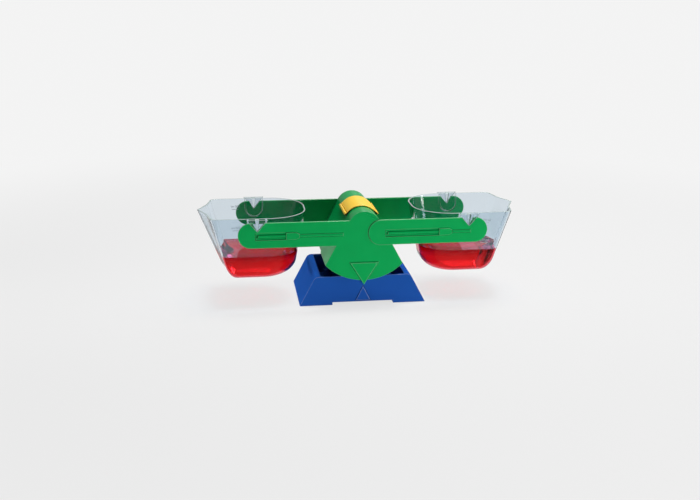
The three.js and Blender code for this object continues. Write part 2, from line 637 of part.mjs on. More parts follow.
// A bucket whose spout points to the right, with its knife edges on the X and Z origin.
function bucket() {
  const floor = BUCKET_RIM_RISE - BUCKET_HEIGHT;
  const pocket = BUCKET_HALF_DEPTH - BUCKET_WALL;
  const shoulder = GUARD_HALF_WIDTH / Math.tan(GUARD_HALF_ANGLE) - GUARD_TIP_DROP;
  const guardTop = Math.max(BUCKET_RIM_RISE, shoulder);
  const knife = polygon([
    [-KNIFE_TIP_HALF_WIDTH, GAP],
    [KNIFE_TIP_HALF_WIDTH, GAP],
    [KNIFE_TOP_HALF_WIDTH, BUCKET_RIM_RISE],
    [-KNIFE_TOP_HALF_WIDTH, BUCKET_RIM_RISE],
  ]);
  const guard = polygon([
    [0, -GUARD_TIP_DROP],
    [GUARD_HALF_WIDTH, shoulder],
    [GUARD_HALF_WIDTH, guardTop],
    [-GUARD_HALF_WIDTH, guardTop],
    [-GUARD_HALF_WIDTH, shoulder],
  ]);
  return bucketSolid(0, floor, BUCKET_RIM_RISE)
    .add(slab(lugPadShape(0), -BUCKET_HALF_DEPTH, BUCKET_HALF_DEPTH))
    .subtract(bucketSolid(BUCKET_WALL, floor + BUCKET_WALL, BUCKET_RIM_RISE + MERGE))
    .subtract(slab(lugPadShape(BUCKET_WALL), -pocket, pocket))
    .add(slabPair(knife, BUCKET_HALF_DEPTH - BUCKET_WALL / 2, GUARD_INNER + GUARD_THICKNESS / 2))
    .add(slabPair(guard, GUARD_INNER, GUARD_INNER + GUARD_THICKNESS));
}

// Assembly

const balance = new THREE.Group();
balance.add(meshFrom('base_shell', baseShell(), blue));
balance.add(meshFrom('fulcrum_post', fulcrumPost(), blue));
let screwNumber = 0;
for (const x of [-POST_SCREW_X, POST_SCREW_X]) {
  for (const y of [-POST_SCREW_Y, POST_SCREW_Y]) {
    screwNumber += 1;
    balance.add(meshFrom(`post_screw_${screwNumber}`, postScrew(x, y), steel));
  }
}

const beam = new THREE.Group();
beam.position.z = PIVOT_HEIGHT;
beam.add(meshFrom('pivot_axle', axle(), steel));
beam.add(meshFrom('zero_slider', zeroSlider(), yellow));
balance.add(beam);

const sides = [
  { half: 'front_beam_half', arm: 'front_right_arm', screw: 'front_arm_screw', turn: 0 },
  { half: 'rear_beam_half', arm: 'rear_left_arm', screw: 'rear_arm_screw', turn: Math.PI },
];
for (const { half, arm, screw, turn } of sides) {
  const side = new THREE.Group();
  side.rotation.z = turn;
  side.add(meshFrom(half, beamHalf(), green));
  side.add(meshFrom(arm, lappedArm(), green));
  PEG_INSETS.forEach((inset, index) => {
    side.add(meshFrom(`${screw}_${index + 1}`, armScrew(inset), steel));
  });
  beam.add(side);
}

for (const { name, turn } of [{ name: 'right_bucket', turn: 0 }, { name: 'left_bucket', turn: Math.PI }]) {
  const hanger = new THREE.Group();
  hanger.rotation.z = turn;
  const bucketMesh = meshFrom(name, bucket(), clear);
  bucketMesh.position.x = NOTCH_REACH;
  hanger.add(bucketMesh);
  beam.add(hanger);
}

export default balance;
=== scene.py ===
"""Looks of a toy bucket balance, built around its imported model.

The mouldings get rounded edges and moulded-plastic finishes, the clear buckets get a printed scale and
red water, the screws get driven heads, and a plain stage with a camera is set round the balance.
"""

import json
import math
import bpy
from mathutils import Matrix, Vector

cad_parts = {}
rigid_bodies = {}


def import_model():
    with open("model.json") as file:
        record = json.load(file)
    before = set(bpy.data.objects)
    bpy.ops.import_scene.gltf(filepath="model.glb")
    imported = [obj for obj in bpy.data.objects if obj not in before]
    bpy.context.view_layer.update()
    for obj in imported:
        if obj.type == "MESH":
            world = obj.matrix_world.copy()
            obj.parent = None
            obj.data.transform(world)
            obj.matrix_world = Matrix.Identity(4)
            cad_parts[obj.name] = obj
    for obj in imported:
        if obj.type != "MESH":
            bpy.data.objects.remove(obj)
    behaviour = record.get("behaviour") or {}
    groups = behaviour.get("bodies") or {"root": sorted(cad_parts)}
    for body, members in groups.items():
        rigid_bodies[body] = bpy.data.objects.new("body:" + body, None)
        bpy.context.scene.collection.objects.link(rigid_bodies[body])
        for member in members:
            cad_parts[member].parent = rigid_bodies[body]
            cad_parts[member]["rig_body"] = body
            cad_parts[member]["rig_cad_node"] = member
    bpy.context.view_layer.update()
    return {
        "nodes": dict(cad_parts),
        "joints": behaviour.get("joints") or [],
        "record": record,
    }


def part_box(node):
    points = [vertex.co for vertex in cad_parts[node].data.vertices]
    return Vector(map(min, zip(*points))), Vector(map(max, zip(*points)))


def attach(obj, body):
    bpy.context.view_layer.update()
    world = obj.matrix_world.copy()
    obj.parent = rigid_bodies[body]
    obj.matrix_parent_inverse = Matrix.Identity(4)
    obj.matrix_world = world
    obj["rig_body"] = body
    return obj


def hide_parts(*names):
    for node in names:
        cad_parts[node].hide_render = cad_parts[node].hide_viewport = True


bl_info = {
    "name": "Bucket Balance Looks",
    "version": (1, 0, 0),
    "blender": (4, 5, 0),
    "location": "View3D > Sidebar > Balance",
    "description": "Finishes the mouldings, buckets, water, screws and stage of a toy bucket balance",
    "category": "Object",
}

from contextlib import contextmanager
from typing import NamedTuple

import bmesh
import bpy
import numpy as np
from bpy.props import FloatProperty, FloatVectorProperty, IntProperty, PointerProperty
from mathutils import Vector

for leftover in list(bpy.data.objects):
    bpy.data.objects.remove(leftover)
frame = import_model()

BODIES = frame["record"]["behaviour"]["bodies"]
NODE_BODY = {node: body for body, nodes in BODIES.items() for node in nodes}
JOINT_PLACE = {joint["name"]: Vector(joint["pos_m"]) for joint in frame["joints"]}

# Sockets of the Mix node when it mixes colours.
MIX_FACTOR = 0
MIX_FIRST = 6
MIX_SECOND = 7
MIX_RESULT = 2

# Share of the pale background that reflections show.
MIRROR_SHARE = 0.25

# Merging of a copied solid: points this close are one, and facets this flat are one face.
MERGE_DISTANCE = 2e-6
FLAT_ANGLE = math.radians(0.5)
SHARP_ANGLE = math.radians(35)
EDGE_STEPS = 3

# Slots of a moulding's finishes after its faces: outer edges, inner corners and, on a bucket, the lugs.
# On the base and beam the outer edges are paler, as wear and as a painted highlight, and the inner
# corners darker, as painted shade.
EDGE_SLOT = 1
CORNER_SLOT = 2
LUG_SLOT = 3

# Lowest and highest corner in an object's bound_box.
LOW_CORNER = 0
HIGH_CORNER = 6

# Detail of the finer noise textures.
FINE_DETAIL = 4.0

MILLILITRES_PER_CUBIC_METRE = 1e6


class Lamp(NamedTuple):
    """A lamp of the stage: its place, its width and height, and how it is seen and aimed."""

    place: tuple
    size: tuple
    mirrored: bool = True
    aim: tuple = None
    spread: float = math.pi


# The low lamp is narrow and aimed below the left slope of the base, so that it lights the base alone.
LAMPS = {
    "key": Lamp(place=(0.3, -1.15, 0.075), size=(0.3, 0.14), mirrored=False),
    "top": Lamp(place=(0.55, 0.1, 1.1), size=(0.6, 0.6)),
    "over": Lamp(place=(0.12, 0.12, 1.2), size=(0.3, 0.3)),
    "glint": Lamp(place=(-0.16, 0.12, 1.2), size=(0.3, 0.3)),
    "low": Lamp(
        place=(-1.1, -0.1, 0.05), size=(0.3, 0.04), mirrored=False,
        aim=(-0.07, 0, -0.06), spread=math.radians(20),
    ),
    "right": Lamp(place=(1.15, -0.4, 0.12), size=(0.25, 0.24)),
    "back": Lamp(place=(0.4, 0.9, 0.8), size=(0.8, 0.8)),
}


class BalancePlastics(bpy.types.PropertyGroup):
    """Colours and surface of the coloured mouldings."""

    edge: FloatProperty(
        name="Edge radius", description="Rounding of the moulded edges",
        default=0.0005, min=0, precision=5, unit="LENGTH",
    )
    smooth: FloatProperty(
        name="Smooth angle",
        description="Facets that meet at less than this angle are shaded as one curve",
        default=math.radians(28), subtype="ANGLE",
    )
    green: FloatVectorProperty(
        name="Beam green", description="Colour of the beam and arms",
        default=(0.002, 0.298, 0.07), min=0, max=1, subtype="COLOR",
    )
    blue: FloatVectorProperty(
        name="Base blue", description="Colour of the base and post",
        default=(0.012, 0.07, 0.31), min=0, max=1, subtype="COLOR",
    )
    yellow: FloatVectorProperty(
        name="Slider yellow", description="Colour of the zero slider",
        default=(0.87, 0.56, 0.05), min=0, max=1, subtype="COLOR",
    )
    gloss: FloatProperty(
        name="Roughness", description="Roughness of the glossy mouldings",
        default=0.3, min=0, max=1, subtype="FACTOR",
    )
    shine: FloatProperty(
        name="Shine", description="Strength of the reflections seen straight on",
        default=0.07, min=0, max=1, subtype="FACTOR",
    )
    skin: FloatProperty(
        name="Glancing shine", description="Glossy skin that shows at a glancing angle",
        default=0.4, min=0, max=1, subtype="FACTOR",
    )
    # Paler outer edges: partly scuff wear, partly a painted highlight.
    wear_and_highlight: FloatProperty(
        name="Edge wear", description="How much paler the scuffed outer edges are",
        default=0.04, min=0, max=1, subtype="FACTOR",
    )
    edge_shine: FloatProperty(
        name="Edge shine", description="Strength of the reflections on the outer edges",
        default=0.5, min=0, max=1, subtype="FACTOR",
    )
    # Painted shade: the inner corners of the mouldings are painted this much darker.
    corner_shade: FloatProperty(
        name="Corner shade", description="How much darker the inner corners are",
        default=0.55, min=0, max=1, subtype="FACTOR",
    )
    grain: FloatProperty(
        name="Grain height", description="Height of the fine moulded grain",
        default=0.000006, min=0, precision=7, unit="LENGTH",
    )
    ripple: FloatProperty(
        name="Ripple height", description="Height of the broad unevenness left by shrinking",
        default=0.00006, min=0, precision=6, unit="LENGTH",
    )


class BalanceBuckets(bpy.types.PropertyGroup):
    """The clear buckets, their scale and the water in them."""

    edge: FloatProperty(
        name="Rim radius", description="Rounding of the bucket's rim and lugs",
        default=0.0003, min=0, precision=5, unit="LENGTH",
    )
    smooth: FloatProperty(
        name="Smooth angle",
        description="Facets that meet at less than this angle are shaded as one curve",
        default=math.radians(17), subtype="ANGLE",
    )
    tint: FloatVectorProperty(
        name="Plastic tint", description="Colour of the clear plastic",
        default=(0.73, 0.81, 0.87), min=0, max=1, subtype="COLOR",
    )
    film: FloatVectorProperty(
        name="Lug tint", description="Colour of one face of the clear lugs and edges",
        default=(0.92, 0.945, 0.96), min=0, max=1, subtype="COLOR",
    )
    haze: FloatVectorProperty(
        name="Edge haze", description="Pale colour that the plastic's edges take on",
        default=(0.44, 0.54, 0.52), min=0, max=1, subtype="COLOR",
    )
    lug_haze: FloatProperty(
        name="Lug haze", description="Share of the pale haze on the lugs",
        default=0.04, min=0, max=1, subtype="FACTOR",
    )
    edge_haze: FloatProperty(
        name="Edge haze share", description="Share of the pale haze on the rim and edges",
        default=0.7, min=0, max=1, subtype="FACTOR",
    )
    stain: FloatVectorProperty(
        name="Wall below water", description="Colour that the water lends to the wall in front of it",
        default=(0.92, 0.1, 0.14), min=0, max=1, subtype="COLOR",
    )
    bending: FloatProperty(
        name="Bending", description="Index of refraction of the clear plastic",
        default=1.25, min=1, max=2,
    )
    lug_start: FloatProperty(
        name="Lug start", description="Distance from the middle to the lugs outside the walls",
        default=0.05535, precision=5, unit="LENGTH",
    )
    water: FloatVectorProperty(
        name="Water colour", description="Colour of the dyed water below its surface",
        default=(0.16, 0.004, 0.16), min=0, max=1, subtype="COLOR",
    )
    # Painted light: the water is painted brighter and oranger near the bucket's floor, in patches, where
    # light gathers.
    water_painted_light: FloatVectorProperty(
        name="Water glow", description="Colour of the dyed water near the floor of the bucket",
        default=(1.0, 0.4, 0.1), min=0, max=1, subtype="COLOR",
    )
    # Painted sheen: the water's top face is painted a lighter pink.
    water_painted_sheen: FloatVectorProperty(
        name="Water surface", description="Colour of the dyed water seen through its surface",
        default=(0.7, 0.12, 0.3), min=0, max=1, subtype="COLOR",
    )
    water_level: FloatProperty(
        name="Water level", description="Height of the water's surface above the table",
        default=0.0627, unit="LENGTH",
    )
    water_gap: FloatProperty(
        name="Water gap", description="Gap between the water and the wall",
        default=0.00008, precision=6, unit="LENGTH",
    )
    ink: FloatVectorProperty(
        name="Scale colour", description="Colour of the printed scale",
        default=(0.14, 0.16, 0.19), min=0, max=1, subtype="COLOR",
    )
    scale_step: IntProperty(
        name="Scale step", description="Millilitres between two marks of the scale",
        default=250, min=10,
    )
    scale_top: IntProperty(
        name="Scale top", description="Millilitres at the highest mark",
        default=500, min=10,
    )
    scale_reach: FloatProperty(
        name="Scale place", description="Distance of the scale from the knife edge, outwards",
        default=0.0235, unit="LENGTH",
    )
    tick_length: FloatProperty(
        name="Mark length", description="Length of one mark of the scale",
        default=0.009, unit="LENGTH",
    )
    tick_height: FloatProperty(
        name="Mark height", description="Height of one mark of the scale",
        default=0.0006, precision=5, unit="LENGTH",
    )
    figure_height: FloatProperty(
        name="Figure height", description="Height of the figures of the scale",
        default=0.0042, precision=4, unit="LENGTH",
    )
    figure_gap: FloatProperty(
        name="Figure gap", description="Height of a figure above the middle of its mark",
        default=0.0022, precision=4, unit="LENGTH",
    )
    print_rise: FloatProperty(
        name="Print rise", description="How far the scale stands off the wall",
        default=0.0002, precision=5, unit="LENGTH",
    )


class BalanceScrews(bpy.types.PropertyGroup):
    """Pan-head screws with a cross recess."""

    head_height: FloatProperty(
        name="Head height", description="Height of the screw head",
        default=0.0018, precision=4, unit="LENGTH",
    )
    shank_radius: FloatProperty(
        name="Shank radius", description="Radius of the screw's shank",
        default=0.0013, precision=4, unit="LENGTH",
    )
    recess_width: FloatProperty(
        name="Recess width", description="Width of one arm of the cross recess",
        default=0.0008, precision=4, unit="LENGTH",
    )
    recess_depth: FloatProperty(
        name="Recess depth", description="Depth of the cross recess",
        default=0.001, precision=4, unit="LENGTH",
    )
    steel: FloatVectorProperty(
        name="Steel", description="Colour of the plated steel",
        default=(0.6, 0.61, 0.62), min=0, max=1, subtype="COLOR",
    )


class BalanceStage(bpy.types.PropertyGroup):
    """Floor, light and camera."""

    eye: FloatVectorProperty(
        name="Camera", description="Place of the camera",
        default=(-0.16384, -1.14008, 0.38574), subtype="XYZ", unit="LENGTH",
    )
    target: FloatVectorProperty(
        name="Target", description="Point that the camera looks at",
        default=(-0.00934, 0.0, 0.0547), subtype="XYZ", unit="LENGTH",
    )
    roll: FloatProperty(
        name="Roll", description="Turn of the camera about its line of sight",
        default=math.radians(0.23), subtype="ANGLE",
    )
    lens: FloatProperty(
        name="Lens", description="Focal length on a 36 mm sensor, in millimetres",
        default=48.88, min=1,
    )
    floor_radius: FloatProperty(
        name="Floor radius", description="Radius of the floor",
        default=60.0, unit="LENGTH",
    )
    paper: FloatVectorProperty(
        name="Paper", description="Colour of the floor and of the background",
        default=(0.9, 0.9, 0.9), min=0, max=1, subtype="COLOR",
    )
    tone: FloatProperty(
        name="Floor tone", description="How light the paper is where it is lit and not even background",
        default=0.68, min=0, max=1, subtype="FACTOR",
    )
    glow: FloatProperty(
        name="Background share", description="Share of the floor's look that is even background",
        default=0.78, min=0, max=1, subtype="FACTOR",
    )
    near: FloatProperty(
        name="Shadow reach", description="Distance up to which the floor keeps its shadows",
        default=0.35, unit="LENGTH",
    )
    far: FloatProperty(
        name="Even reach", description="Distance from which the floor is all even background",
        default=1.1, unit="LENGTH",
    )
    sky: FloatProperty(
        name="Sky", description="Strength of the even light from all round",
        default=0.12, min=0,
    )
    key_power: FloatProperty(
        name="Key lamp", description="Power of the soft lamp in front, in watts",
        default=7.6, min=0,
    )
    top_power: FloatProperty(
        name="Top lamp", description="Power of the soft lamp above on the right, in watts",
        default=5.0, min=0,
    )
    over_power: FloatProperty(
        name="Overhead lamp", description="Power of the soft lamp straight above, in watts",
        default=9.4, min=0,
    )
    glint_power: FloatProperty(
        name="Glint lamp", description="Power of the lamp that glints in the left water, in watts",
        default=1.2, min=0,
    )
    low_power: FloatProperty(
        name="Low lamp", description="Power of the narrow lamp low on the left, in watts",
        default=0.2, min=0,
    )
    right_power: FloatProperty(
        name="Right lamp", description="Power of the lamp on the right, in watts",
        default=4.0, min=0,
    )
    back_power: FloatProperty(
        name="Back lamp", description="Power of the soft lamp above and behind, in watts",
        default=3.0, min=0,
    )


class Shade:
    """One value of a material's node tree. Arithmetic on it adds Math nodes."""

    def __init__(self, finish, socket):
        self.finish = finish
        self.socket = socket

    def math(self, operation, other):
        return self.finish.node("ShaderNodeMath", {"operation": operation}, {0: self, 1: other})

    def __add__(self, other):
        return self.math("ADD", other)

    def __radd__(self, other):
        return self.math("ADD", other)

    def __sub__(self, other):
        return self.math("SUBTRACT", other)

    def __mul__(self, other):
        return self.math("MULTIPLY", other)


class Finish:
    """The node tree of one material, or of the world."""

    def __init__(self, tree):
        self.tree = tree
        tree.nodes.clear()

    def node(self, kind, settings=None, sockets=None, output=0):
        """Adds a node, sets it up, then sets or links its sockets. Gives one of its outputs, if any."""
        node = self.tree.nodes.new(kind)
        for name, value in (settings or {}).items():
            setattr(node, name, value)
        for name, value in (sockets or {}).items():
            if isinstance(value, Shade):
                self.tree.links.new(value.socket, node.inputs[name])
            else:
                node.inputs[name].default_value = value
        return Shade(self, node.outputs[output]) if node.outputs else None

    def place(self):
        return self.node("ShaderNodeTexCoord", output="Object")

    def noise(self, scale, detail=2.0):
        sockets = {"Vector": self.place(), "Scale": scale, "Detail": detail}
        return self.node("ShaderNodeTexNoise", sockets=sockets)

    def blend(self, factor, first, second):
        sockets = {MIX_FACTOR: factor, MIX_FIRST: first, MIX_SECOND: second}
        return self.node("ShaderNodeMix", {"data_type": "RGBA"}, sockets, MIX_RESULT)

    def relief(self, height):
        return self.node("ShaderNodeBump", sockets={"Height": height, "Strength": 1.0, "Distance": 1.0})

    def seen(self):
        """1 for what the camera sees straight or through something clear, and less for a reflection."""
        path = self.node("ShaderNodeLightPath", output="Is Camera Ray")
        mirror = self.node("ShaderNodeLightPath", output="Is Glossy Ray") * MIRROR_SHARE
        through = self.node("ShaderNodeLightPath", output="Is Transmission Ray")
        return path.math("MAXIMUM", mirror.math("MAXIMUM", through))

    def lit_through(self, shader, colour):
        """Lets the light of the lamps pass a clear shader, tinted, so that what is behind it is lit."""
        lamp_ray = self.node("ShaderNodeLightPath", output="Is Shadow Ray")
        film = self.node("ShaderNodeBsdfTransparent", sockets={"Color": opaque(colour)})
        return self.node("ShaderNodeMixShader", sockets={0: lamp_ray, 1: shader, 2: film})


def new_finish(name):
    material = bpy.data.materials.new(name)
    material.use_nodes = True
    return material, Finish(material.node_tree)


def opaque(colour, brightness=1.0):
    """A colour with its alpha, made lighter or darker."""
    return (*(min(1.0, channel * brightness) for channel in colour), 1.0)


def moulded_plastic(name, colour, roughness, shine, skin, settings):
    """Glossy moulded plastic: faint clouds in the pigment, fine grain and broad shrink ripples."""
    cloud_scale, grain_scale, ripple_scale = 45.0, 2600.0, 38.0
    cloud_depth, cloud_middle, polish_spread = 0.07, 0.5, 0.1
    glance_blend, coat_roughness = 0.3, 0.1
    material, finish = new_finish(name)
    cloud = finish.noise(cloud_scale, FINE_DETAIL)
    grain = finish.noise(grain_scale)
    pigment = finish.blend(cloud, opaque(colour, 1 - cloud_depth), opaque(colour, 1 + cloud_depth))
    height = grain * settings.grain + finish.noise(ripple_scale) * settings.ripple
    glance = finish.node("ShaderNodeLayerWeight", sockets={"Blend": glance_blend}, output="Facing")
    shader = finish.node("ShaderNodeBsdfPrincipled", sockets={
        "Base Color": pigment,
        "Roughness": roughness + (cloud - cloud_middle) * polish_spread,
        "Specular IOR Level": shine,
        "Coat Weight": glance * skin,
        "Coat Roughness": coat_roughness,
        "Normal": finish.relief(height),
    })
    finish.node("ShaderNodeOutputMaterial", sockets={"Surface": shader})
    return material


def worn_plastic_with_painted_light(name, colour, roughness, shine, skin, settings):
    """A plastic on its faces, paler on its outer edges as wear and a painted highlight, and darker in
    its inner corners as painted shade.
    """
    # Paler outer edges: partly scuff wear, partly a painted highlight.
    pale = [channel + (1 - channel) * settings.wear_and_highlight for channel in colour]
    # Painted shade: the inner corners are painted darker.
    dark = [channel * (1 - settings.corner_shade) for channel in colour]
    return (
        moulded_plastic(name, colour, roughness, shine, skin, settings),
        moulded_plastic(f"{name}_edge", pale, roughness, settings.edge_shine, 1.0, settings),
        moulded_plastic(f"{name}_corner", dark, roughness, 0.0, 0.0, settings),
    )


def clear_plastic(settings):
    """Polished clear plastic with the faint waviness of a moulded wall."""
    wave_scale, wave_height, waterline, polish_spread = 60.0, 0.00002, 0.0004, 0.05
    material, finish = new_finish("clear_plastic")
    wave = finish.noise(wave_scale)
    height = finish.node("ShaderNodeSeparateXYZ", sockets={0: finish.place()}, output="Z")
    below = finish.node("ShaderNodeMapRange", sockets={
        "Value": height,
        "From Min": settings.water_level,
        "From Max": settings.water_level - waterline,
    })
    shader = finish.node("ShaderNodeBsdfPrincipled", sockets={
        "Base Color": finish.blend(below, opaque(settings.tint), opaque(settings.stain)),
        "Roughness": wave * polish_spread,
        "IOR": settings.bending,
        "Transmission Weight": 1.0,
        "Normal": finish.relief(wave * wave_height),
    })
    surface = finish.lit_through(shader, settings.tint)
    finish.node("ShaderNodeOutputMaterial", sockets={"Surface": surface})
    return material


def pale_film(name, settings, haze):
    """The same plastic in a solid bar or a rounded edge: hazy, and not bending what lies behind it."""
    wave_scale, polish_spread = 60.0, 0.3
    material, finish = new_finish(name)
    glint = finish.node("ShaderNodeFresnel", sockets={"IOR": settings.bending})
    film = finish.node("ShaderNodeBsdfTransparent", sockets={"Color": opaque(settings.film)})
    skin = finish.node("ShaderNodeBsdfPrincipled", sockets={
        "Base Color": opaque(settings.haze),
        "Roughness": finish.noise(wave_scale) * polish_spread,
    })
    share = haze + glint * (1 - haze)
    surface = finish.node("ShaderNodeMixShader", sockets={0: share, 1: film, 2: skin})
    finish.node("ShaderNodeOutputMaterial", sockets={"Surface": surface})
    return material


def dyed_water(settings):
    """Clear red water with painted light: brighter towards the bucket's floor in uneven patches, and a
    painted sheen on top.
    """
    cloud_scale, painted_light_depth, patch, surface_depth = 30.0, 0.02, 0.5, 0.0002
    water_bending = 1.333
    material, finish = new_finish("dyed_water")
    height = finish.node("ShaderNodeSeparateXYZ", sockets={0: finish.place()}, output="Z")
    depth = finish.node("ShaderNodeMapRange", sockets={
        "Value": height,
        "From Min": settings.water_level,
        "From Max": settings.water_level - painted_light_depth,
    })
    on_top = finish.node("ShaderNodeMapRange", sockets={
        "Value": height,
        "From Min": settings.water_level - surface_depth,
        "From Max": settings.water_level - surface_depth / 2,
    })
    # Painted light: the water turns towards its painted light colour near the floor, in patches.
    glow = depth * (1 - patch + finish.noise(cloud_scale) * patch)
    body = finish.blend(glow, opaque(settings.water), opaque(settings.water_painted_light))
    # The dye colour, with the painted sheen on the water's top face.
    dye_and_painted_light = finish.blend(on_top, body, opaque(settings.water_painted_sheen))
    shader = finish.node("ShaderNodeBsdfPrincipled", sockets={
        "Base Color": dye_and_painted_light,
        "Roughness": 0.0,
        "IOR": water_bending,
        "Transmission Weight": 1.0,
    })
    finish.node("ShaderNodeOutputMaterial", sockets={"Surface": shader})
    return material


def scale_ink(settings):
    """Matt printing ink, thin in places."""
    speck_scale, thinning, matt = 900.0, 0.4, 0.6
    material, finish = new_finish("scale_ink")
    speck = finish.noise(speck_scale)
    ink = finish.blend(speck * thinning, opaque(settings.ink), opaque(settings.tint))
    shader = finish.node("ShaderNodeBsdfPrincipled", sockets={"Base Color": ink, "Roughness": matt})
    finish.node("ShaderNodeOutputMaterial", sockets={"Surface": shader})
    return material


def plated_steel(settings):
    """Zinc-plated steel with faint blotches."""
    blotch_scale, blotch_depth, polish, polish_spread = 700.0, 0.15, 0.25, 0.2
    material, finish = new_finish("plated_steel")
    blotch = finish.noise(blotch_scale, FINE_DETAIL)
    dull = opaque(settings.steel, 1 - blotch_depth)
    shader = finish.node("ShaderNodeBsdfPrincipled", sockets={
        "Base Color": finish.blend(blotch, dull, opaque(settings.steel)),
        "Metallic": 1.0,
        "Roughness": polish + blotch * polish_spread,
    })
    finish.node("ShaderNodeOutputMaterial", sockets={"Surface": shader})
    return material


def only(piece):
    """Selects one piece alone and makes it the active one."""
    bpy.ops.object.select_all(action="DESELECT")
    piece.select_set(True)
    bpy.context.view_layer.objects.active = piece


@contextmanager
def editing(piece, select_mode="FACE"):
    """Edit mode on one piece."""
    only(piece)
    bpy.ops.object.mode_set(mode="EDIT")
    bpy.ops.mesh.select_mode(type=select_mode)
    yield
    bpy.ops.object.mode_set(mode="OBJECT")


def apply_modifier(piece, kind, **settings):
    modifier = piece.modifiers.new(kind.lower(), kind)
    for name, value in settings.items():
        setattr(modifier, name, value)
    only(piece)
    bpy.ops.object.modifier_apply(modifier=modifier.name)


def paint(piece, *finishes):
    piece.data.materials.clear()
    for finish in finishes:
        piece.data.materials.append(finish)


def stand_for(piece, node):
    """The piece is shown in place of a CAD node, on the node's body."""
    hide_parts(node)
    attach(piece, NODE_BODY[node])


def sort_edges(piece):
    """Gives the rounded edges that are hollow, in inner corners, the third finish, which on the base and
    beam is painted shade.
    """
    mesh = bmesh.new()
    mesh.from_mesh(piece.data)
    hollow = []
    for face in mesh.faces:
        if face.material_index == EDGE_SLOT:
            middle = face.calc_center_median()
            around = [other for edge in face.edges for other in edge.link_faces if other is not face]
            rays = [(other.calc_center_median() - middle).normalized() for other in around]
            if sum(ray.dot(face.normal) for ray in rays) > 0:
                hollow.append(face.index)
    mesh.free()
    for index in hollow:
        piece.data.polygons[index].material_index = CORNER_SLOT


def rounded_moulding(node, edge, smooth, finishes):
    """A copy of a solid, merged into whole faces, with its sharp edges rounded and finished apart."""
    only(frame["nodes"][node])
    bpy.ops.object.duplicate()
    piece = bpy.context.object
    piece.name = f"{node}_moulding"
    piece.parent = None
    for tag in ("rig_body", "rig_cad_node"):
        del piece[tag]
    paint(piece, *finishes)
    with editing(piece):
        bpy.ops.mesh.select_all(action="SELECT")
        bpy.ops.mesh.remove_doubles(threshold=MERGE_DISTANCE)
        bpy.ops.mesh.dissolve_limited(angle_limit=FLAT_ANGLE)
    apply_modifier(
        piece, "BEVEL", width=edge, segments=EDGE_STEPS, limit_method="ANGLE", angle_limit=SHARP_ANGLE,
        use_clamp_overlap=False, material=EDGE_SLOT,
    )
    sort_edges(piece)
    only(piece)
    bpy.ops.object.shade_smooth_by_angle(angle=smooth)
    apply_modifier(piece, "WEIGHTED_NORMAL", keep_sharp=True)
    return piece


class BALANCE_OT_base(bpy.types.Operator):
    """Finish the blue base and the post that carries the beam"""

    bl_idname = "balance.base"
    bl_label = "Base and Post"

    def execute(self, context):
        plastics = context.scene.balance_plastics
        satin = 0.15
        blue = worn_plastic_with_painted_light("blue_plastic", plastics.blue, plastics.gloss + satin, 0.0, 0.0, plastics)
        for node in ("base_shell", "fulcrum_post"):
            piece = rounded_moulding(node, plastics.edge, plastics.smooth, blue)
            stand_for(piece, node)
        return {"FINISHED"}


class BALANCE_OT_beam(bpy.types.Operator):
    """Finish the two green beam halves and the two lapped arms"""

    bl_idname = "balance.beam"
    bl_label = "Beam and Arms"

    def execute(self, context):
        plastics = context.scene.balance_plastics
        green = worn_plastic_with_painted_light(
            "green_plastic", plastics.green, plastics.gloss, plastics.shine, plastics.skin, plastics,
        )
        for node in ("front_beam_half", "rear_beam_half", "front_right_arm", "rear_left_arm"):
            piece = rounded_moulding(node, plastics.edge, plastics.smooth, green)
            stand_for(piece, node)
        return {"FINISHED"}


class BALANCE_OT_slider(bpy.types.Operator):
    """Finish the yellow zero slider on the barrel"""

    bl_idname = "balance.slider"
    bl_label = "Zero Slider"

    def execute(self, context):
        plastics = context.scene.balance_plastics
        face, edge, _ = worn_plastic_with_painted_light(
            "yellow_plastic", plastics.yellow, plastics.gloss, plastics.shine, 0.0, plastics,
        )
        piece = rounded_moulding("zero_slider", plastics.edge, plastics.smooth, (face, edge, face))
        stand_for(piece, "zero_slider")
        return {"FINISHED"}


def select_faces_at(piece, height, tolerance=1e-6):
    """Selects the faces whose middle lies at a height, in edit mode's own data."""
    mesh = bmesh.from_edit_mesh(piece.data)
    for face in mesh.faces:
        face.select_set(abs(face.calc_center_median().z - height) < tolerance)
    bmesh.update_edit_mesh(piece.data)


def pan_head_screw(node, along, turn, settings):
    """A screw whose head faces up, turned so that it lies where the node does, along an axis."""
    sides, dome_steps = 40, 5
    low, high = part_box(node)
    size = high - low
    length = size[along]
    radius = size.x / 2
    head = settings.head_height
    bpy.ops.mesh.primitive_cylinder_add(
        vertices=sides, radius=radius, depth=head, location=(0, 0, -head / 2),
    )
    piece = bpy.context.object
    piece.name = f"{node}_driven"
    bpy.ops.object.transform_apply(location=True, rotation=False, scale=False)
    with editing(piece):
        bpy.ops.mesh.select_all(action="DESELECT")
        select_faces_at(piece, -head)
        bpy.ops.mesh.inset(thickness=radius - settings.shank_radius)
        bpy.ops.mesh.extrude_region_move(TRANSFORM_OT_translate={"value": (0, 0, head - length)})
        bpy.ops.mesh.select_all(action="DESELECT")
        select_faces_at(piece, 0)
        bpy.ops.mesh.bevel(offset=head / 2, segments=dome_steps, affect="EDGES")
    for across in (0, math.pi / 2):
        bpy.ops.mesh.primitive_cube_add(size=1, rotation=(0, 0, across))
        blade = bpy.context.object
        blade.scale = (radius, settings.recess_width, 2 * settings.recess_depth)
        apply_modifier(piece, "BOOLEAN", operation="DIFFERENCE", object=blade, solver="EXACT")
        bpy.data.objects.remove(blade)
    only(piece)
    bpy.ops.object.shade_smooth_by_angle(angle=SHARP_ANGLE)
    piece.rotation_euler = turn
    bpy.ops.object.transform_apply(location=False, rotation=True, scale=False)
    corner = Vector([min(v.co[k] for v in piece.data.vertices) for k in range(3)])
    piece.location = low - corner
    bpy.ops.object.transform_apply(location=True, rotation=False, scale=False)
    return piece


